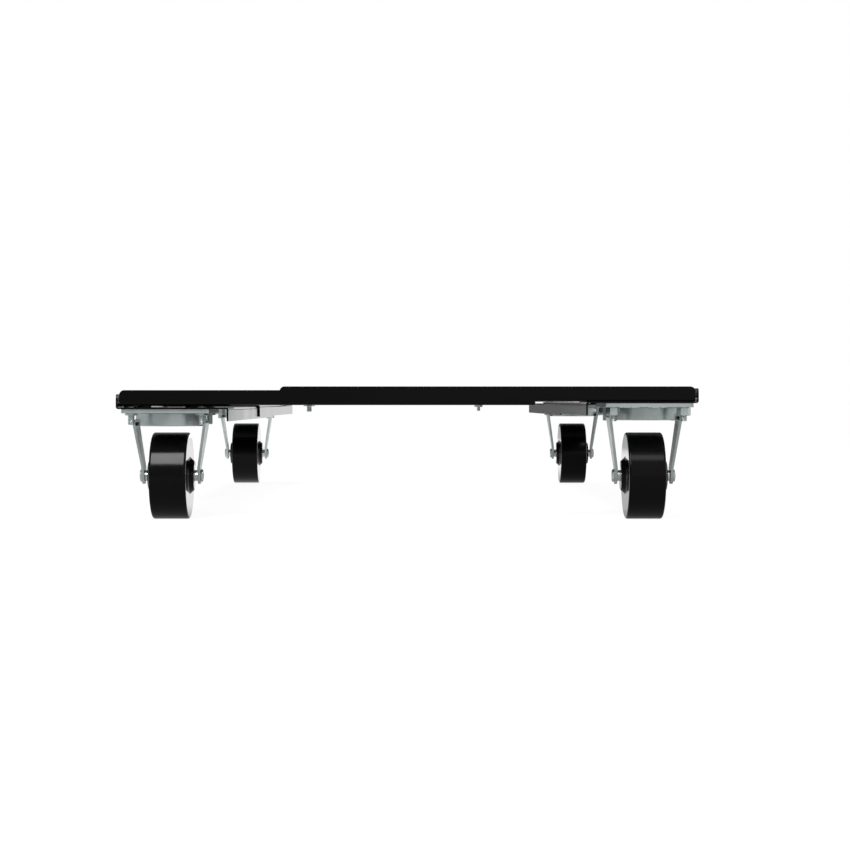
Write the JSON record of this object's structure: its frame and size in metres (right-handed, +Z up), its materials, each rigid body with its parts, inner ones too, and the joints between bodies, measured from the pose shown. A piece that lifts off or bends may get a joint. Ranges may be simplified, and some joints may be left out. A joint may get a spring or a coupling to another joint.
{
  "type": "cabinet dolly",
  "caption": "Low black cabinet dolly: telescoping bent-sheet corner pieces with upturned lips, adjustable in width and length, riding on zinc swivel plate casters with black wheels.",
  "frame": {"origin": "on the floor under the middle of the dolly, centre of the bounding box's bottom face", "axes": "+X to the right along the short side, +Y from the front end to the rear end along the long side, +Z up"},
  "size_m": [0.67, 1.219, 0.1555],
  "materials": {
    "black_sheet": "semi-gloss black powder coat",
    "zinc_plate": "satin zinc plating, faintly green",
    "zinc_hardware": "bright zinc-plated fasteners",
    "ball_steel": "ground bearing steel",
    "black_wheel": "moulded black plastic, low sheen"
  },
  "bodies": {
    "front_left": {"front_left_side_rail": "black_sheet", "front_left_cross_rail": "black_sheet", "front_left_corner_rivets": "black_sheet", "front_left_caster_plate": "zinc_plate", "front_left_caster_bolts": "zinc_hardware", "front_left_caster_nuts": "zinc_hardware", "front_left_kingpin": "zinc_hardware"},
    "front_right": {"front_right_side_rail": "black_sheet", "front_right_cross_rail": "black_sheet", "front_right_corner_rivets": "black_sheet", "front_right_caster_plate": "zinc_plate", "front_right_caster_bolts": "zinc_hardware", "front_right_caster_nuts": "zinc_hardware", "front_right_kingpin": "zinc_hardware", "front_width_lock_bolt": "zinc_hardware", "front_width_lock_nut": "zinc_hardware", "right_length_lock_bolt": "zinc_hardware", "right_length_lock_nut": "zinc_hardware"},
    "rear_left": {"rear_left_side_rail": "black_sheet", "rear_left_cross_rail": "black_sheet", "rear_left_corner_rivets": "black_sheet", "rear_left_caster_plate": "zinc_plate", "rear_left_caster_bolts": "zinc_hardware", "rear_left_caster_nuts": "zinc_hardware", "rear_left_kingpin": "zinc_hardware", "rear_width_lock_bolt": "zinc_hardware", "rear_width_lock_nut": "zinc_hardware", "left_length_lock_bolt": "zinc_hardware", "left_length_lock_nut": "zinc_hardware"},
    "rear_right": {"rear_right_side_rail": "black_sheet", "rear_right_cross_rail": "black_sheet", "rear_right_corner_rivets": "black_sheet", "rear_right_caster_plate": "zinc_plate", "rear_right_caster_bolts": "zinc_hardware", "rear_right_caster_nuts": "zinc_hardware", "rear_right_kingpin": "zinc_hardware"},
    "front_left_swivel": {"front_left_fork": "zinc_plate", "front_left_swivel_balls": "ball_steel", "front_left_wheel_bushing": "ball_steel", "front_left_axle_bolt": "zinc_hardware", "front_left_axle_nut": "zinc_hardware"},
    "front_left_roller": {"front_left_wheel": "black_wheel"},
    "front_right_swivel": {"front_right_fork": "zinc_plate", "front_right_swivel_balls": "ball_steel", "front_right_wheel_bushing": "ball_steel", "front_right_axle_bolt": "zinc_hardware", "front_right_axle_nut": "zinc_hardware"},
    "front_right_roller": {"front_right_wheel": "black_wheel"},
    "rear_left_swivel": {"rear_left_fork": "zinc_plate", "rear_left_swivel_balls": "ball_steel", "rear_left_wheel_bushing": "ball_steel", "rear_left_axle_bolt": "zinc_hardware", "rear_left_axle_nut": "zinc_hardware"},
    "rear_left_roller": {"rear_left_wheel": "black_wheel"},
    "rear_right_swivel": {"rear_right_fork": "zinc_plate", "rear_right_swivel_balls": "ball_steel", "rear_right_wheel_bushing": "ball_steel", "rear_right_axle_bolt": "zinc_hardware", "rear_right_axle_nut": "zinc_hardware"},
    "rear_right_roller": {"rear_right_wheel": "black_wheel"}
  },
  "joints": [
    {"name": "width_slide", "type": "slide", "parent": "front_left", "child": "front_right", "axis": [1, 0, 0], "range_m": [-0.05, 0.17]},
    {"name": "left_length_slide", "type": "slide", "parent": "front_left", "child": "rear_left", "axis": [0, 1, 0], "range_m": [-0.32, 0.15]},
    {"name": "right_length_slide", "type": "slide", "parent": "front_right", "child": "rear_right", "axis": [0, 1, 0], "range_m": [-0.32, 0.15]},
    {"name": "front_left_swivel_turn", "type": "hinge", "parent": "front_left", "child": "front_left_swivel", "pos_m": [-0.2786, -0.5495, 0.118], "axis": [0, 0, 1], "continuous": true},
    {"name": "front_left_wheel_spin", "type": "hinge", "parent": "front_left_swivel", "child": "front_left_roller", "pos_m": [-0.2786, -0.5415, 0.0508], "axis": [1, 0, 0], "continuous": true},
    {"name": "front_right_swivel_turn", "type": "hinge", "parent": "front_right", "child": "front_right_swivel", "pos_m": [0.2763, -0.5495, 0.118], "axis": [0, 0, 1], "continuous": true},
    {"name": "front_right_wheel_spin", "type": "hinge", "parent": "front_right_swivel", "child": "front_right_roller", "pos_m": [0.2763, -0.5415, 0.0508], "axis": [1, 0, 0], "continuous": true},
    {"name": "rear_left_swivel_turn", "type": "hinge", "parent": "rear_left", "child": "rear_left_swivel", "pos_m": [-0.2786, 0.5495, 0.118], "axis": [0, 0, 1], "continuous": true},
    {"name": "rear_left_wheel_spin", "type": "hinge", "parent": "rear_left_swivel", "child": "rear_left_roller", "pos_m": [-0.2786, 0.5575, 0.0508], "axis": [1, 0, 0], "continuous": true},
    {"name": "rear_right_swivel_turn", "type": "hinge", "parent": "rear_right", "child": "rear_right_swivel", "pos_m": [0.2763, 0.5495, 0.118], "axis": [0, 0, 1], "continuous": true},
    {"name": "rear_right_wheel_spin", "type": "hinge", "parent": "rear_right_swivel", "child": "rear_right_roller", "pos_m": [0.2763, 0.5575, 0.0508], "axis": [1, 0, 0], "continuous": true}
  ],
  "couplings": [
    {"joint": "right_length_slide", "follows": "left_length_slide", "ratio": 1}
  ]
}
